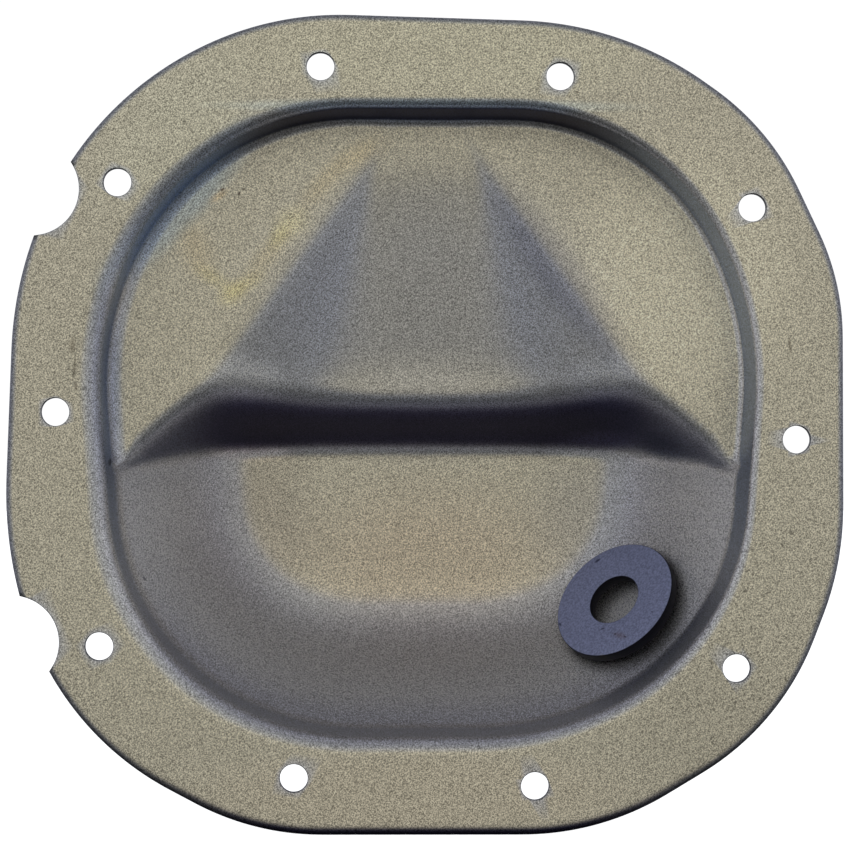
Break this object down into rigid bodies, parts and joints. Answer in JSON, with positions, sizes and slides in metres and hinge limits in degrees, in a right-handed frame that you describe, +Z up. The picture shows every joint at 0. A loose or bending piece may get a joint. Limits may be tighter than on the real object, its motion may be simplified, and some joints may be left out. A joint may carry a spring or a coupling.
{
  "type": "differential cover",
  "caption": "Pressed steel rear axle differential cover, seen from its hollow side: flat bolt flange, domed dish with a folded step, and a ring magnet on the floor.",
  "frame": {"origin": "centre of the bolt pattern, in the plane of the flange's mating face", "axes": "-Y out of the mating face, towards the axle housing; +Y into the depth of the dish; +Z up, with the fold across the dish along X"},
  "size_m": [0.2818, 0.0684, 0.2758],
  "materials": {
    "steel": "bare cold-rolled sheet with a fine matt grain, slightly tan, with a light film of oil",
    "ferrite": "dark blue-grey sintered ferrite, smooth and dull, with a few chips on its edges"
  },
  "bodies": {
    "root": {"cover": "steel", "ring_magnet": "ferrite"}
  },
  "joints": []
}
